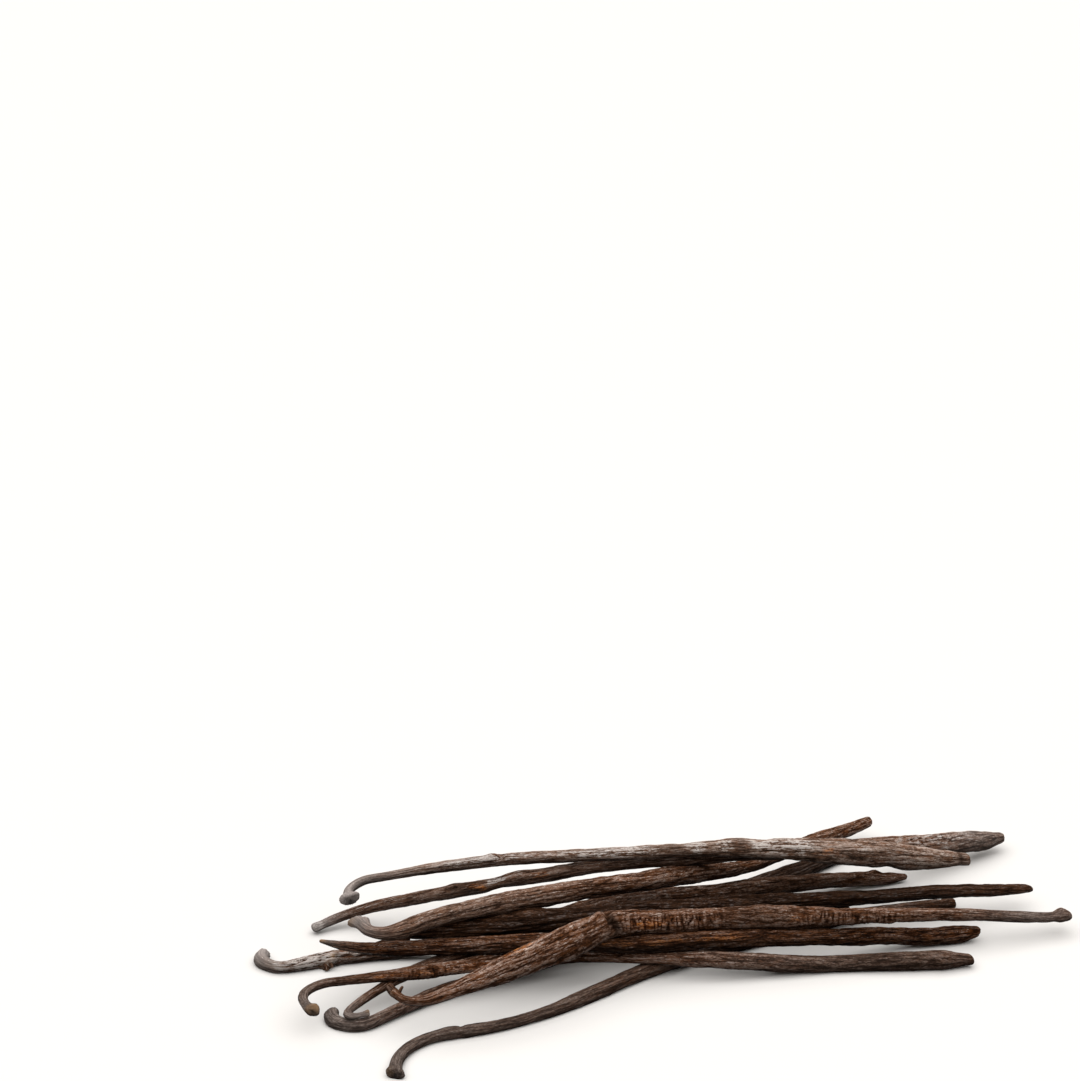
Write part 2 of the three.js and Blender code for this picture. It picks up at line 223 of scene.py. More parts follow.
            ("amber", 22, 15, 12, 30, 0.6), ("grey", 192, 0, 14, 360, 0.7),
        ],
    },
    "pod_top_back": {
        "slot": "frosted_skin", "seed": 41.1, "twist": 0.003, "folds": 0.9, "wrinkles": 1.1,
        "ends": ((0.25, -0.3), (0.35, 0.3)), "cuts": [(0, 173, 0.5), (1, 0, 0.5)],
        "shifts": [(1, 5, (-1.0, 0, 0.4)), (11, 5, (0, 0, 0.5)), (25, 9, (0, 0, -0.2))],
        "marks": [
            (0.3, 0, 1, 360, 0.3), (0.6, 160, 1.3, 42, 1.1), (0, 20, 1.2, 42, 0.7),
            (2.6, 0, 2.5, 360, -0.2), (2.2, -90, 1, 40, 0.25), (20, 0, 13, 360, -0.06),
            (88, 100, 16, 60, -0.5), (45.6, 60, 0.8, 45, -1.2), (43, 75, 1.6, 50, 0.75),
            (47.8, 60, 1.3, 40, 0.35), (46.6, 30, 0.7, 25, 0.35), (105, 100, 5, 45, 0.35),
            (112, 95, 2, 45, -0.25), (152, -62, 5, 40, 0.8), (142, -55, 3, 40, 0.4),
            (160, -60, 3, 40, 0.45), (147, -65, 1.4, 35, -0.3), (163.5, 30, 1.4, 70, 0.3),
            (166.2, 40, 0.6, 60, -0.5),
        ],
        "stains": [
            ("pale", 80, 60, 90, 360, 0.5), ("grey", 0, 0, 18, 360, 1.0),
            ("frost", 0, 0, 7, 360, 0.7), ("frost", 60, 60, 22, 80, 0.7),
            ("frost", 95, 60, 14, 80, 1.0), ("frost", 120, 50, 14, 80, 1.0),
            ("frost", 140, 40, 6, 60, 0.7), ("frost", 36, 50, 12, 80, 0.8),
            ("frost", 76, 60, 10, 80, 0.7), ("bare", 89.3, 39, 3.2, 70, 1.0),
            ("bare", 99.6, 45, 1.6, 60, 0.8), ("dark", 89.3, 45, 3.4, 70, 0.6),
            ("dark", 107.2, 48, 2.2, 70, 0.6), ("dark", 146, 45, 3, 50, 0.3),
            ("pale", 0, 0, 5, 360, 0.7), ("bare", 107.2, 48, 1.9, 70, 1.0),
            ("bare", 133, 30, 4, 50, 0.8), ("bare", 146, 45, 3, 50, 0.8),
            ("amber", 130, 22, 4, 40, 0.9), ("amber", 89.3, 45, 2, 50, 0.5),
            ("frost", 164.2, 30, 1.2, 60, 0.9), ("dark", 166.3, 40, 0.8, 80, 1.0),
            ("bare", 168, 30, 1, 360, 1.0),
        ],
    },
    "pod_top_front": {
        "slot": "brown_skin", "seed": 47.7, "twist": 0.006, "folds": 1.1, "wrinkles": 1.1,
        "ends": ((0.2, 0.3), (0.3, 0.4)), "cuts": [(0, 110, 0.7), (1, -60, 0.5)],
        "marks": [
            (0.6, 90, 1, 60, -0.25), (2.6, 130, 1.2, 50, 0.4), (63.7, 85, 1, 34, 0.7),
            (64.3, 45, 1, 30, 0.5), (64.8, 10, 1, 28, 0.35), (65.8, 75, 0.9, 26, -1.1),
            (66.3, 45, 1, 24, -1.3), (66.8, 12, 1, 24, -1.0), (67.7, -18, 1.2, 24, -0.7),
            (66.6, 95, 1.5, 50, 0.3), (65.4, 20, 1.3, 40, -0.4), (67.5, -20, 2.5, 40, 0.3),
            (55, -40, 8, 45, 0.45), (35, -50, 12, 40, 0.3), (109.8, 19, 1, 45, -0.5),
            (112, 30, 1.6, 40, 0.3), (107.4, 30, 1.6, 40, 0.3), (104.6, 95, 2, 35, 0.35),
            (140.6, -60, 0.6, 40, -0.4), (138.6, -60, 1.5, 40, 0.25), (186.4, 80, 1.8, 60, 0.8),
            (178, 0, 7, 360, 0.15), (184, -60, 1, 60, -0.2), (188.3, -60, 1, 60, 0.35),
        ],
        "strands": [
            ((-67.2, -38.3, 8.8), (-66.3, -37.9, 10.5), 0.5, 0.3, 0.15),
            ((-68.2, -37.0, 8.2), (-69.9, -35.9, 9.8), 1.1, 0.85, -0.15),
        ],
        "stains": [
            ("tan", 0.2, 90, 1.1, 360, 1.0), ("amber", 3, 60, 2.5, 90, 0.6),
            ("dark", 66, 70, 1.3, 30, 1.0), ("dark", 66.6, 35, 1.4, 30, 1.0),
            ("dark", 67.4, 0, 1.5, 30, 0.9), ("ribbed", 74, 25, 9, 55, 1.0),
            ("ribbed", 88, 25, 10, 50, 1.0), ("ribbed", 122, 20, 9, 50, 1.0),
            ("ribbed", 136, 5, 8, 55, 0.8), ("amber", 74, 10, 6, 40, 0.8),
            ("amber", 84, 15, 9, 40, 0.6), ("amber", 114, 10, 4, 40, 0.65),
            ("amber", 124, 20, 9, 40, 0.5), ("amber", 38, 110, 8, 25, 0.9),
            ("amber", 30, -25, 8, 30, 0.5), ("grey", 178, 0, 14, 360, 0.8),
            ("frost", 60, 60, 10, 60, 0.5), ("dark", 103, 10, 9, 360, 0.4),
            ("dark", 100, 0, 70, 360, 0.15),
        ],
    },
}
# Each kind of stain is painted into an attribute of the skin. One kind darkens the skin: real
# darker patches, and painted shade on lower flanks and on parts that lie under other pods.
STAINS = ("grey", "amber", "frost", "tan", "ribbed", "bare", "pale", "dark")


# ---------------------------------------------------------------- the shape of a pod


def unit(vectors):
    return vectors / np.linalg.norm(vectors, axis=-1, keepdims=True)


def eased(at, knots, values, slopes=None):
    """The values at some knots, carried on by a smooth curve to the places at."""
    if slopes is None:
        slopes = np.gradient(values, knots, axis=0)
    left = np.clip(np.searchsorted(knots, at, side="right") - 1, 0, len(knots) - 2)
    gap = (knots[left + 1] - knots[left])[:, None]
    t = (at - knots[left])[:, None] / gap
    rise = t * t * (3 - 2 * t)
    start = values[left] + slopes[left] * gap * t * (1 - t) ** 2
    end = slopes[left + 1] * gap * t * t * (t - 1)
    return start + (values[left + 1] - values[left]) * rise + end


def crossways(directions):
    """The two unit vectors across each direction: level, and upwards."""
    side = unit(np.cross(directions, (0, 0, 1)))
    return side, np.cross(side, directions)


def solid_rings(node):
    """The rings of corners of a pod's solid, from the stem end to the tip, in mm."""
    merged = bmesh.new()
    merged.from_mesh(node.data)
    bmesh.ops.remove_doubles(merged, verts=merged.verts, dist=0.0005 * MM)
    poles = [v for v in merged.verts if len(v.link_edges) == SIDES]
    reached = {min(poles, key=lambda v: v.co.x)}
    layers = [list(reached)]
    while layers[-1]:
        beside = {e.other_vert(v) for v in layers[-1] for e in v.link_edges} - reached
        reached |= beside
        layers.append(list(beside))
    rings = np.array([[v.co for v in layer] for layer in layers if len(layer) == SIDES])
    merged.free()
    return rings / MM


def smooth_form(node):
    """Functions of the distance along a pod that follow its solid: middle, direction, outline."""
    rings = solid_rings(node)
    middles = rings.mean(axis=1)
    steps = np.diff(middles, axis=0)
    along = np.concatenate([[0], np.cumsum(np.linalg.norm(steps, axis=1))])
    directions = np.linalg.svd(rings - middles[:, None])[2][:, 2]
    ahead = np.gradient(middles, along, axis=0)
    directions *= np.sign((directions * ahead).sum(axis=1))[:, None]
    side, rise = crossways(directions)
    outlines = []
    for ring, middle, x_axis, y_axis in zip(rings, middles, side, rise):
        across = np.array([(ring - middle) @ x_axis, (ring - middle) @ y_axis])
        angles = np.arctan2(across[1], across[0])
        fit = np.linalg.lstsq(waves(angles), np.hypot(*across), rcond=None)[0]
        outlines.append(fit)
    return along, middles, directions, np.array(outlines)


def waves(angles):
    """One row for each angle: a constant, and the cosines and sines of its multiples."""
    turns = np.outer(angles, np.arange(1, WAVES + 1))
    return np.hstack([np.ones((len(angles), 1)), np.cos(turns), np.sin(turns)])


def bump(along, around, place, degrees, length, spread):
    """A smooth hill, 1 high, on the skin. A spread of 360 degrees goes all round."""
    hill = np.exp(-(((along - place) / length) ** 2))
    if spread >= 360:
        return hill + 0 * around
    apart = (around - math.radians(degrees) + math.pi) % TURN - math.pi
    return hill * np.exp(-((apart / math.radians(spread)) ** 2))


def end_rings(rim, middle):
    """How an end face closes: rows of (share of the ring's size, how far it stands out)."""
    rows = []
    for t in END_STEPS:
        edge = 1 - (1 - min(1, t / RIM)) ** 2
        inner = max(0, (t - RIM) / (1 - RIM))
        rows.append((1 - t, rim * edge + (middle - rim) * inner * (2 - inner)))
    return rows


def strand_form(start, end, first_radius, last_radius, bend):
    """The form of a torn end, as smooth_form gives it: a bent, tapered rod."""
    t = np.linspace(0, 1, STRAND_KNOTS)[:, None]
    middles = np.array(start) + (np.array(end) - start) * t
    middles[:, 2:] += bend * 4 * t * (1 - t)
    length = np.linalg.norm(np.subtract(end, start))
    along = np.linspace(0, length, STRAND_KNOTS)
    outlines = np.zeros((STRAND_KNOTS, 1 + 2 * WAVES))
    outlines[:, :1] = first_radius + (last_radius - first_radius) * t
    outlines[:, 2] = STRAND_FLATNESS * outlines[:, 0]
    return along, middles, unit(np.gradient(middles, along, axis=0)), outlines


def ring_places(length, pod):
    """How far along the rings lie: close together where the pod is ribbed."""
    places = np.linspace(0, length, SPACING_SAMPLES)
    ribbed = 0 * places
    for stain, along, _, extent, *_ in pod["stains"]:
        if stain == "ribbed":
            ribbed = np.maximum(ribbed, bump(places, 0, along, 0, 1.2 * extent, 360))
    density = 1 / RING_STEP + (1 / RIBBED_STEP - 1 / RING_STEP) * np.minimum(1.5 * ribbed, 1)
    count = np.cumsum(density) * length / len(places)
    return np.interp(np.linspace(count[0], count[-1], round(count[-1]) + 1), count, places)


def skin_tube(form, pod):
    """The points, faces and attributes of one closed skin over a form."""
    knots, middles, directions, outlines = form
    length = knots[-1]
    girth = outlines[:, 0].mean()
    sides = 4 * round(TURN * girth / SIDE_STEP / 4)
    along = ring_places(length, pod)
    around = TURN * (np.arange(sides) / sides - 0.25)
    middle = eased(along, knots, middles, directions)
    for place, extent, aside in pod.get("shifts", []):
        middle += np.exp(-(((along - place) / extent) ** 2))[:, None] * aside
    direction = unit(eased(along, knots, directions))
    reach = eased(along, knots, outlines) @ waves(around).T
    stem, tip = (end_rings(*end) for end in pod["ends"])
    plan = [(0, share, -out) for share, out in reversed(stem)]
    plan += [(i, 1, 0) for i in range(len(along))]
    plan += [(-1, share, out) for share, out in tip]
    index = np.array([row[0] for row in plan])
    share = np.array([row[1] for row in plan])[:, None]
    out = np.array([row[2] for row in plan])[:, None]
    along = (along[index] + out[:, 0])[:, None]
    middle = middle[index] + direction[index] * out
    side, rise = crossways(direction[index])
    reach = reach[index]
    for place, degrees, extent, spread, height in pod["marks"]:
        reach = reach + height * bump(along, around, place, degrees, extent, spread)
    reach = reach * share
    across = side[:, None] * np.cos(around)[:, None] + rise[:, None] * np.sin(around)[:, None]
    places = middle[:, None] + across * reach[..., None]
    for end, degrees, height in pod["cuts"]:
        beyond = along - length if end else -along
        lean = height * np.exp(-((np.minimum(beyond, 0) / CUT_FADE) ** 2))
        lean = lean * share * np.cos(around - math.radians(degrees)) * (1 if end else -1)
        places += direction[index][:, None] * lean[..., None]
    places[..., 2] = np.maximum(places[..., 2], 0)
    flat = np.broadcast_to(along, reach.shape)
    straight = [girth * share * np.cos(around), girth * share * np.sin(around), flat]
    stem_pole = middle[0] - direction[0] * (pod["ends"][0][1] - stem[-1][1])
    tip_pole = middle[-1] + direction[-1] * (pod["ends"][1][1] - tip[-1][1])
    points = np.concatenate([places.reshape(-1, 3), [stem_pole, tip_pole]])

    def with_poles(values):
        values = np.broadcast_to(values, reach.shape)
        return np.append(values.ravel(), [values[0].mean(), values[-1].mean()])

    paints = {"girth": with_poles(reach.mean(axis=1, keepdims=True))}
    # How far up round the pod a point lies; the finish lightens the top and darkens the underside
    # with it, as painted light and shade.
    paints["upper"] = with_poles(0.5 + 0.5 * np.sin(around))
    paints["straight"] = np.stack([with_poles(values) for values in straight], axis=1)
    for kind in STAINS:
        amount = 0 * reach
        for stain, *place, strength in pod["stains"]:
            if stain == kind:
                amount = amount + strength * bump(along, around, *place)
        for end, stain, strength in pod.get("faces", []):
            if stain == kind:
                face = (index == (-1 if end else 0))[:, None]
                amount = amount + strength * face * np.minimum((1 - share) / RIM, 1)
        paints[kind] = with_poles(np.clip(amount, 0, 1))
    steps = np.linalg.norm(np.diff(places[:, 0], axis=0), axis=1)
    run = np.concatenate([[0], np.cumsum(steps)])
    return points, closed_faces(len(plan), sides), unrolled(run / run[-1], sides), paints


def closed_faces(rows, sides):
    """The faces of rows of points round a tube, and of the fans to its two poles."""
    here, beside = np.arange(sides), (np.arange(sides) + 1) % sides
    start = np.arange(rows - 1)[:, None] * sides
    near, past = (start + here).ravel(), (start + beside).ravel()
    quads = np.stack([near, near + sides, past + sides, past], axis=1)
    last = (rows - 1) * sides
    stem_fan = np.stack([np.full(sides, rows * sides), here, beside], axis=1)
    tip_fan = np.stack([np.full(sides, rows * sides + 1), last + beside, last + here], axis=1)
    return quads.tolist() + stem_fan.tolist() + tip_fan.tolist()


def unrolled(heights, sides):
    """Where the corners of those faces lie in the UV map: round across it, along up it."""
    rows = len(heights)
    here = np.arange(sides) / sides
    beside = here + 1 / sides
    low, high = (np.repeat(part, sides) for part in (heights[:-1], heights[1:]))
    left, right = (np.tile(part, rows - 1) for part in (here, beside))
    quads = np.stack([left, low, left, high, right, high, right, low], axis=1)
    middle, zero, one = (here + beside) / 2, np.zeros(sides), np.ones(sides)
    stem_fan = np.stack([middle, zero, here, zero, beside, zero], axis=1)
    tip_fan = np.stack([middle, one, beside, one, here, one], axis=1)
    return np.concatenate([quads.ravel(), stem_fan.ravel(), tip_fan.ravel()])


TORN = {
    "ends": ((0.1, 0.2), (0.1, 0.25)), "cuts": [], "marks": [],
    "stains": [("dark", 0, 0, 30, 360, 0.6), ("amber", 0, 0, 30, 360, 0.25)],
    "faces": [(1, "tan", 0.7)],
}


def skin_mesh(name, pod, node):
    """The fine skin of one pod with its attributes, before it is wrinkled."""
    tubes = [skin_tube(smooth_form(node), pod)]
    tubes += [skin_tube(strand_form(*strand), TORN) for strand in pod.get("strands", [])]
    places, faces = [], []
    for points, tube_faces, *_ in tubes:
        first = sum(len(part) for part in places)
        faces += [[first + corner for corner in face] for face in tube_faces]
        places.append(points)
    mesh = bpy.data.meshes.new(name)
    mesh.from_pydata((np.concatenate(places) * MM).tolist(), [], faces)
    mesh.shade_smooth()
    unwrapped = np.concatenate([uvs for *_, uvs, _ in tubes])
    mesh.uv_layers.new(name="skin").data.foreach_set("uv", unwrapped.astype(np.float32))
    for attribute in tubes[0][3]:
        values = np.concatenate([paints[attribute] for *_, paints in tubes]).astype(np.float32)
        kind, field = ("FLOAT", "value") if values.ndim == 1 else ("FLOAT_VECTOR", "vector")
        mesh.attributes.new(attribute, kind, "POINT").data.foreach_set(field, values.ravel())
    return mesh


# ---------------------------------------------------------------- node helpers


def add(tree, kind, inputs=(), **settings):
    """Adds a node with its settings, and gives its inputs their values or links."""
    made = tree.nodes.new(kind)
    for key, value in settings.items():
        setattr(made, key, value)
    for key, value in inputs.items() if isinstance(inputs, dict) else enumerate(inputs):
        if isinstance(value, bpy.types.Node):
            value = value.outputs[0]
        if isinstance(value, bpy.types.NodeSocket):
            tree.links.new(value, made.inputs[key])
        else:
            made.inputs[key].default_value = value
    return made


def calc(tree, operation, *values, clamp=False):
    return add(tree, "ShaderNodeMath", values, operation=operation, use_clamp=clamp).outputs[0]


def billow(tree, vector, scale, seed, detail=1.0, sharp=0.7):
    """Rounded crests with narrow valleys between them, from 0 to 1."""
    noise = add(
        tree,
        "ShaderNodeTexNoise",
        {"Vector": vector, "Scale": 1.0, "W": seed, "Detail": detail, "Roughness": 0.5},
        noise_dimensions="4D",
        normalize=False,
    )
    steep = calc(tree, "MULTIPLY", calc(tree, "ABSOLUTE", noise), scale)
    return calc(tree, "POWER", calc(tree, "MINIMUM", steep, 1.0), sharp)


def stretched(tree, vector, pitch, stretch):
    """The vector in units of the pitch, drawn out along the pod."""
    across = calc(tree, "DIVIDE", 1.0, pitch)
    ahead = calc(tree, "DIVIDE", across, stretch)
    factor = add(tree, "ShaderNodeCombineXYZ", [across, across, ahead])
    return add(tree, "ShaderNodeVectorMath", [vector, factor], operation="MULTIPLY").outputs[0]


# ---------------------------------------------------------------- the wrinkles

RELIEF_INPUTS = {
    "Seed": 0.0,
    "Twist": 0.0,
    "Lump Depth": 0.24,
    "Fold Pitch": 1.9,
    "Fold Depth": 0.18,
    "Wrinkle Pitch": 0.68,
    "Wrinkle Depth": 0.2,
    "Fine Pitch": 0.33,
    "Fine Depth": 0.11,
    "Rib Pitch": 0.85,
    "Rib Depth": 0.5,
    "Fold Stretch": 22.0,
    "Wrinkle Stretch": 16.0,
    "Fine Stretch": 9.0,
    "Waviness": 0.35,
    "Lift": 0.24,
}


SWAY = (3.0, 2.6)  # pitch and stretch of the sideways sway of the wrinkles
LUMPS = (3.2, 1.6)  # and of the broad lumps
RIB_WIDTH = 5.0  # round the pod, in rib pitches
RIB_STRETCH = 0.2  # how long it is along the pod, against that width
USUAL_RADIUS = 2.2  # of a pod whose relief has just the given depth
DEEPEST = 1.15  # on a thicker pod, against that depth
CALM_STEM = 0.65  # how much of the folds and lumps a grey stem loses
PLAIN, PLAIN_LOSS = 0.78, 0.55  # how much of the wrinkles shows, and how much less where ribbed
FOLD_SHADE, FINE_SHADE = 0.35, 0.45  # how much their valleys darken the skin
# The ridges: (steepness, shift of the pattern, detail).
FOLDS, WRINKLES = (2.8, 0.0, 1.0), (3.0, 20.0, 1.5)
FINE, RIBS = (3.4, 40.0, 1.0), (3.0, 60.0, 1.0)


def relief_tree():
    """Wrinkles a pod's skin: long folds, wrinkles on them, and ribs across where it is ribbed."""
    tree = bpy.data.node_groups.new("wrinkled_skin", "GeometryNodeTree")
    tree.interface.new_socket("Geometry", in_out="INPUT", socket_type="NodeSocketGeometry")
    for name, value in RELIEF_INPUTS.items():
        socket = tree.interface.new_socket(name, in_out="INPUT", socket_type="NodeSocketFloat")
        socket.default_value = value
    tree.interface.new_socket("Material", in_out="INPUT", socket_type="NodeSocketMaterial")
    tree.interface.new_socket("Geometry", in_out="OUTPUT", socket_type="NodeSocketGeometry")
    given = tree.nodes.new("NodeGroupInput").outputs

    def read(name, kind="FLOAT"):
        named = add(tree, "GeometryNodeInputNamedAttribute", {"Name": name}, data_type=kind)
        return named.outputs["Attribute"]

    straight = read("straight", "FLOAT_VECTOR")
    ahead = add(tree, "ShaderNodeSeparateXYZ", [straight]).outputs["Z"]
    turned = add(
        tree,
        "ShaderNodeVectorRotate",
        {"Vector": straight, "Angle": calc(tree, "MULTIPLY", ahead, given["Twist"])},
        rotation_type="Z_AXIS",
    )
    slow = stretched(tree, turned, *SWAY)
    sway = add(
        tree,
        "ShaderNodeTexNoise",
        {"Vector": slow, "W": given["Seed"], "Scale": 1.0, "Detail": 1.0},
        noise_dimensions="4D",
        normalize=False,
    ).outputs["Color"]
    aside = add(
        tree, "ShaderNodeVectorMath", {0: sway, "Scale": given["Waviness"]}, operation="SCALE"
    )
    wavy = add(tree, "ShaderNodeVectorMath", [turned, aside], operation="ADD").outputs[0]

    def ridges(pitch, stretch, steep, shift, detail):
        seed = calc(tree, "ADD", given["Seed"], shift)
        return billow(tree, stretched(tree, wavy, pitch, stretch), steep, seed, detail)

    lumps = add(
        tree,
        "ShaderNodeTexNoise",
        {
            "Vector": stretched(tree, turned, *LUMPS),
            "W": given["Seed"],
            "Scale": 1.0,
            "Detail": 2.0,
        },
        noise_dimensions="4D",
        normalize=False,
    ).outputs["Fac"]
    folds = ridges(given["Fold Pitch"], given["Fold Stretch"], *FOLDS)
    wrinkles = ridges(given["Wrinkle Pitch"], given["Wrinkle Stretch"], *WRINKLES)
    fine = ridges(given["Fine Pitch"], given["Fine Stretch"], *FINE)
    ribs = ridges(calc(tree, "MULTIPLY", given["Rib Pitch"], RIB_WIDTH), RIB_STRETCH, *RIBS)
    ribbed = read("ribbed")
    plain = calc(tree, "SUBTRACT", PLAIN, calc(tree, "MULTIPLY", ribbed, PLAIN_LOSS))
    calm = calc(tree, "SUBTRACT", 1.0, calc(tree, "MULTIPLY", read("grey"), CALM_STEM))

    def sunk(crest, depth, amount=1.0):
        below = calc(tree, "SUBTRACT", crest, 1.0)
        return calc(tree, "MULTIPLY", calc(tree, "MULTIPLY", below, depth), amount)

    lumpy = calc(tree, "MULTIPLY", given["Lump Depth"], calm)
    height = calc(tree, "ADD", given["Lift"], calc(tree, "MULTIPLY", lumps, lumpy))
    for part in (
        sunk(folds, given["Fold Depth"], calm),
        sunk(wrinkles, given["Wrinkle Depth"], plain),
        sunk(fine, given["Fine Depth"], plain),
        sunk(ribs, given["Rib Depth"], ribbed),
    ):
        height = calc(tree, "ADD", height, part)
    girth = calc(tree, "MINIMUM", calc(tree, "DIVIDE", read("girth"), USUAL_RADIUS), DEEPEST)
    height = calc(tree, "MULTIPLY", height, calc(tree, "MULTIPLY", girth, MM))
    normal = add(tree, "GeometryNodeInputNormal").outputs[0]
    offset = add(tree, "ShaderNodeVectorMath", {0: normal, "Scale": height}, operation="SCALE")
    moved = add(tree, "GeometryNodeSetPosition", {"Geometry": given["Geometry"], "Offset": offset})
    place = add(tree, "GeometryNodeInputPosition").outputs[0]
    ground = (-9, -9, 0)  # only its height counts: the rest lies far outside the heap
    floor = add(tree, "ShaderNodeVectorMath", [place, ground], operation="MAXIMUM")
    resting = add(tree, "GeometryNodeSetPosition", {"Geometry": moved, "Position": floor})
    # The crest is 1 on the ridges and lower in the valleys; the finish paints shade in the valleys
    # with it.
    crest = 1.0
    shades = ((folds, FOLD_SHADE), (wrinkles, plain), (fine, FINE_SHADE), (ribs, ribbed))
    for ridge, share in shades:
        valley = calc(tree, "MULTIPLY", calc(tree, "SUBTRACT", 1.0, ridge), share)
        crest = calc(tree, "MULTIPLY", crest, calc(tree, "SUBTRACT", 1.0, valley))
    stored = add(
        tree,
        "GeometryNodeStoreNamedAttribute",
        {"Geometry": resting, "Name": "crest", "Value": crest},
        data_type="FLOAT",
        domain="POINT",
    )
    solid = add(tree, "GeometryNodeRealizeInstances", [stored])
    coated = add(
        tree, "GeometryNodeSetMaterial", {"Geometry": solid, "Material": given["Material"]}
    )
    add(tree, "NodeGroupOutput", [coated])
    return tree


def wrinkled(mesh, tree, pod, material):
    """The mesh with its relief, as a plain object."""
    name = mesh.name
    mesh.name = "smooth"
    rough = bpy.data.objects.new("smooth", mesh)
    bpy.context.scene.collection.objects.link(rough)
    relief = rough.modifiers.new("relief", "NODES")
    relief.node_group = tree
    values = {
        "Seed": pod["seed"],
        "Twist": pod["twist"],
        "Fold Depth": RELIEF_INPUTS["Fold Depth"] * pod["folds"],
        "Wrinkle Depth": RELIEF_INPUTS["Wrinkle Depth"] * pod["wrinkles"],
        "Fine Depth": RELIEF_INPUTS["Fine Depth"] * pod["wrinkles"],
        "Material": material,
    }
    for item in tree.interface.items_tree:
        if item.item_type == "SOCKET" and item.in_out == "INPUT" and item.name in values:
            relief[item.identifier] = values[item.name]
    evaluated = rough.evaluated_get(bpy.context.evaluated_depsgraph_get())
    made = bpy.data.meshes.new_from_object(evaluated)
    rough.modifiers.remove(relief)
    bpy.data.objects.remove(rough)
    bpy.data.meshes.remove(mesh)
    made.name = name
    piece = bpy.data.objects.new(name, made)
    bpy.context.scene.collection.objects.link(piece)
    return piece


# ---------------------------------------------------------------- the finishes


def shader_group(name, inputs, outputs):
    """An empty group of shader nodes with named sockets, and its input and output nodes."""
    tree = bpy.data.node_groups.new(name, "ShaderNodeTree")
    for label, (kind, value) in inputs.items():
        socket = tree.interface.new_socket(label, in_out="INPUT", socket_type=kind)
        if value is not None:
            socket.default_value = value
    for label in outputs:
        tree.interface.new_socket(label, in_out="OUTPUT", socket_type="NodeSocketFloat")
    return tree, tree.nodes.new("NodeGroupInput").outputs, tree.nodes.new("NodeGroupOutput")


def grain_group():
    """Fine lines drawn out along a pod."""
    number = "NodeSocketFloat"
    tree, given, result = shader_group(
        "fine_grain",
        {
            "Vector": ("NodeSocketVector", None),
            "Pitch": (number, 0.3),
            "Stretch": (number, 6.0),
            "Seed": (number, 0.0),
        },
        ["Height"],
    )
    lines = stretched(tree, given["Vector"], given["Pitch"], given["Stretch"])
    tree.links.new(billow(tree, lines, 2.4, given["Seed"], 3.0), result.inputs["Height"])
    return tree


def patch_group():
    """Ragged patches inside a mask, drawn out along a pod."""
    number = "NodeSocketFloat"
    tree, given, result = shader_group(
        "ragged_patches",
        {
            "Vector": ("NodeSocketVector", None),
            "Mask": (number, 1.0),
            "Pitch": (number, 1.0),
            "Stretch": (number, 4.0),
            "Softness": (number, 0.15),
            "Seed": (number, 0.0),
        },
        ["Mask"],
    )
    drawn = stretched(tree, given["Vector"], given["Pitch"], given["Stretch"])
    noise = add(
        tree,
        "ShaderNodeTexNoise",
        {"Vector": drawn, "W": given["Seed"], "Scale": 1.0, "Detail": 4.0, "Roughness": 0.6},
        noise_dimensions="4D",
    )
    level = calc(tree, "SUBTRACT", 1.0, calc(tree, "MULTIPLY", given["Mask"], 0.62))
    above = calc(tree, "SUBTRACT", noise, level)
    edge = calc(tree, "ADD", calc(tree, "DIVIDE", above, given["Softness"]), 0.5, clamp=True)
    inside = calc(tree, "MINIMUM", calc(tree, "MULTIPLY", given["Mask"], 4.0), 1.0)
    shown = calc(tree, "MULTIPLY", edge, inside)
    tree.links.new(shown, result.inputs["Mask"])
    return tree


def mixed(tree, factor, first, second):
    """The colour between two, each given as a socket or as red, green and blue."""
    mix = add(tree, "ShaderNodeMix", data_type="RGBA")
    for socket, value in ((mix.inputs[0], factor), (mix.inputs[6], first), (mix.inputs[7], second)):
        if isinstance(value, bpy.types.NodeSocket):
            tree.links.new(value, socket)
        else:
            socket.default_value = (*value, 1)
    return mix.outputs[2]


# The colours that stains and patches bring, with painted glints, a partly painted sheen and painted
# shade among them.
WARM_FLECK = (0.09, 0.031, 0.009)
PALE_VEIL = (0.11, 0.077, 0.06)
BLOOM_AND_SHEEN = (0.31, 0.26, 0.228)
ASH_VALLEY, ASH_CREST = (0.021, 0.017, 0.015), (0.172, 0.149, 0.137)
SMOOTH_STEM = (0.21, 0.186, 0.176)
AMBER_VALLEY, AMBER_CREST = (0.05, 0.013, 0.003), (0.24, 0.085, 0.018)
FROST = (0.3, 0.274, 0.258)
PAINTED_GLINT = (0.42, 0.375, 0.345)
CUT_FACE = (0.22, 0.135, 0.075)
DARK_AND_SHADE_VALLEY, DARK_AND_SHADE_CREST = (0.003, 0.001, 0.0004), (0.17, 0.082, 0.045)

# The ragged patches: (pitch, stretch, softness, seed).
PATCHES = {
    "warm": (0.5, 6.0, 0.2, 7.0),
    "bloom_and_sheen": (0.42, 3.5, 0.12, 11.0),
    "amber": (0.36, 5.0, 0.2, 19.0),
    "frost": (0.45, 6.0, 0.15, 23.0),
    "painted_glint": (0.32, 2.6, 0.06, 37.0),
    "grease": (0.35, 3.5, 0.12, 29.0),
}
GRAIN = {"Pitch": 0.25, "Stretch": 5.0, "Seed": 3.0}
WARM_SHARE = GREASE_SHARE = 0.72  # of the skin that warm flecks and grease may cover
PAINTED_GLINT_SHARE = 0.55


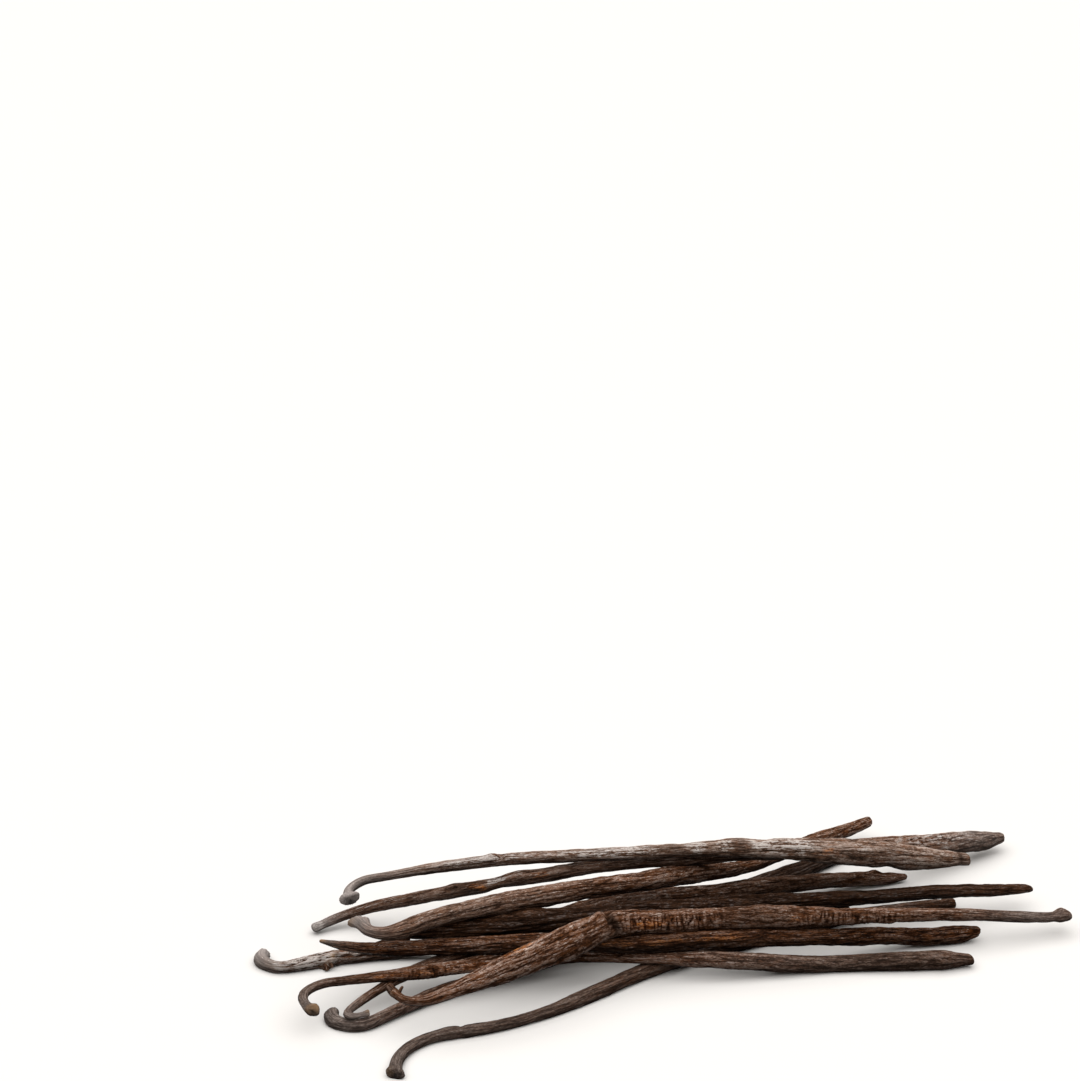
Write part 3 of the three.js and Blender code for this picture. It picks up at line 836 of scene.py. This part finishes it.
def skin_material(name, grain, patches, valley, middle, crest, bloom_and_sheen, gloss):
    """The finish of a pod's skin, with painted shade in its valleys and painted sheen on its
    crests.
    """
    material = bpy.data.materials.new(name)
    material.use_nodes = True
    tree = material.node_tree
    shader = tree.nodes["Principled BSDF"]

    def read(attribute, output="Fac"):
        return add(tree, "ShaderNodeAttribute", attribute_name=attribute).outputs[output]

    def times(first, *others):
        for value in others:
            first = calc(tree, "MULTIPLY", first, value)
        return first

    def less(whole, value, share):
        return calc(tree, "SUBTRACT", whole, times(value, share))

    def ramp(value, start, span):
        return calc(tree, "DIVIDE", calc(tree, "SUBTRACT", value, start), span, clamp=True)

    def patch(kind, mask):
        sockets = dict(zip(("Pitch", "Stretch", "Softness", "Seed"), PATCHES[kind]))
        sockets.update(Vector=straight, Mask=mask)
        return add(tree, "ShaderNodeGroup", sockets, node_tree=patches).outputs["Mask"]

    straight, upper = read("straight", "Vector"), read("upper")
    pale, bare, tan, dark = (read(stain) for stain in ("pale", "bare", "tan", "dark"))
    fine = add(tree, "ShaderNodeGroup", {"Vector": straight, **GRAIN}, node_tree=grain).outputs[0]

    # The plain skin: how high on the relief a point lies gives its colour, so the valleys get
    # painted shade and the crests a painted sheen over the skin's own brown.
    level = times(read("crest"), calc(tree, "ADD", times(fine, 0.7), 0.36))
    low, high = ramp(level, 0.11, 0.21), ramp(level, 0.36, 0.27)
    colour = mixed(tree, high, mixed(tree, low, valley, middle), crest)
    colour = mixed(tree, times(patch("warm", WARM_SHARE), low, 0.65), colour, WARM_FLECK)
    colour = mixed(tree, times(pale, low, 0.32), colour, PALE_VEIL)
    covering = calc(tree, "SUBTRACT", 1.0, bare)
    # Pale coating on the crests, made stronger towards the top of the pod as a painted sheen.
    painted_top_sheen = calc(tree, "POWER", upper, 0.7)
    bloom_and_sheen_cover = times(patch("bloom_and_sheen", bloom_and_sheen), high, covering, painted_top_sheen, 0.75)
    colour = mixed(tree, bloom_and_sheen_cover, colour, BLOOM_AND_SHEEN)

    # The stains, one over the other.
    stem = times(read("grey"), 0.8)
    ash = mixed(tree, ramp(level, 0.1, 0.85), ASH_VALLEY, ASH_CREST)
    colour = mixed(tree, stem, colour, ash)
    colour = mixed(tree, times(stem, pale, 0.9), colour, SMOOTH_STEM)
    amber = mixed(tree, high, AMBER_VALLEY, AMBER_CREST)
    colour = mixed(tree, times(patch("amber", read("amber")), low), colour, amber)
    frosted = patch("frost", times(read("frost"), covering))
    frosted = times(frosted, times(ramp(level, 0.31, 0.12), 0.85))
    colour = mixed(tree, frosted, colour, FROST)
    # Painted glints: pale specks on the highest crests, strongest on the top of the pod.
    painted_glint = times(patch("painted_glint", PAINTED_GLINT_SHARE), times(high, upper))
    colour = mixed(tree, painted_glint, colour, PAINTED_GLINT)
    colour = mixed(tree, times(tan, 0.9), colour, CUT_FACE)
    # The darkening stain, which also paints shade, turns the skin a deep brown.
    colour = mixed(tree, times(dark, 0.5), colour, mixed(tree, level, DARK_AND_SHADE_VALLEY, DARK_AND_SHADE_CREST))

    # Painted light and shade: the top of a pod is lighter and its underside darker, and what takes
    # the darkening stain is darker all over.
    painted_light_and_shade = calc(tree, "ADD", times(calc(tree, "POWER", upper, 1.1), 1.16), 0.14)
    strength = times(less(1.0, dark, 0.78), painted_light_and_shade)
    toned = add(tree, "ShaderNodeVectorMath", {0: colour, "Scale": strength}, operation="SCALE")
    tree.links.new(toned.outputs[0], shader.inputs["Base Color"])

    dusty = times(calc(tree, "MAXIMUM", stem, frosted), 0.2)
    tree.links.new(calc(tree, "ADD", gloss, dusty), shader.inputs["Roughness"])
    greasy = times(high, less(0.9, stem, 0.7), patch("grease", GREASE_SHARE), less(1.0, dark, 0.4))
    tree.links.new(greasy, shader.inputs["Coat Weight"])
    shader.inputs["Coat Roughness"].default_value = 0.16
    shader.inputs["Specular IOR Level"].default_value = 0.01
    lines = {"Height": fine, "Strength": 0.7, "Distance": 0.07 * MM}
    raised = add(tree, "ShaderNodeBump", lines)
    tree.links.new(raised.outputs[0], shader.inputs["Normal"])
    return material


# Each finish also gives how much pale coating its crests take, partly a painted sheen.
FINISHES = {
    "grey_brown_skin": dict(
        valley=(0.007, 0.003, 0.0016),
        middle=(0.036, 0.02, 0.0135),
        crest=(0.085, 0.056, 0.042),
        bloom_and_sheen=0.6,
        gloss=0.5,
    ),
    "brown_skin": dict(
        valley=(0.004, 0.0013, 0.0005),
        middle=(0.033, 0.0138, 0.0068),
        crest=(0.125, 0.077, 0.057),
        bloom_and_sheen=0.66,
        gloss=0.45,
    ),
    "dark_skin": dict(
        valley=(0.0015, 0.0005, 0.0002),
        middle=(0.0125, 0.0042, 0.0019),
        crest=(0.078, 0.041, 0.026),
        bloom_and_sheen=0.55,
        gloss=0.42,
    ),
    "frosted_skin": dict(
        valley=(0.012, 0.0065, 0.004),
        middle=(0.07, 0.043, 0.031),
        crest=(0.19, 0.145, 0.122),
        bloom_and_sheen=0.72,
        gloss=0.45,
    ),
}

grain, patches = grain_group(), patch_group()
finishes = {
    slot: skin_material(slot, grain, patches, **values) for slot, values in FINISHES.items()
}
relief = relief_tree()
for node_name, pod in PODS.items():
    smooth = skin_mesh("wrinkled_" + node_name, pod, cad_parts[node_name])
    piece = wrinkled(smooth, relief, pod, finishes[pod["slot"]])
    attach(piece, "root")
    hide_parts(node_name)

# ---------------------------------------------------------------- table, light and camera

TABLE_SIZE = 80  # metres, so that its edge stays out of every view
SOFTBOX_WIDTH = 110  # degrees that the light seems wide
SOFTBOX_LEAN = 4  # degrees that it leans from straight above
EYE_PLACE = (-0.03292, -0.67704, 0.3763)  # metres
EYE_TILT = 68.68  # degrees up from looking straight down
LENS = 99.907

bpy.ops.mesh.primitive_plane_add(size=TABLE_SIZE)
table = bpy.context.object
table.name = "table"
pale = bpy.data.materials.new("pale_table")
pale.use_nodes = True
surface = pale.node_tree.nodes["Principled BSDF"]
surface.inputs["Base Color"].default_value = (0.48, 0.47, 0.46, 1)
surface.inputs["Roughness"].default_value = 0.7
table.data.materials.append(pale)

sky = bpy.data.lights.new("softbox", "SUN")
sky.energy = 6.3
sky.angle = math.radians(SOFTBOX_WIDTH)
sky.color = (1, 0.995, 0.985)
softbox = bpy.data.objects.new("softbox", sky)
softbox.rotation_euler = (math.radians(SOFTBOX_LEAN), 0, 0)
bpy.context.scene.collection.objects.link(softbox)
world = bpy.data.worlds.new("studio")
world.use_nodes = True
room = world.node_tree.nodes["Background"]
room.inputs["Color"].default_value = (1, 0.85, 0.7, 1)
room.inputs["Strength"].default_value = 0.2
bpy.context.scene.world = world
bpy.context.scene.view_settings.view_transform = "Standard"

eye = bpy.data.cameras.new("eye")
eye.sensor_width = 36
eye.lens = LENS
eye.clip_start = 0.01
camera = bpy.data.objects.new("eye", eye)
bpy.context.scene.collection.objects.link(camera)
camera.location = EYE_PLACE
camera.rotation_euler = (math.radians(EYE_TILT), 0, 0)
bpy.context.scene.camera = camera
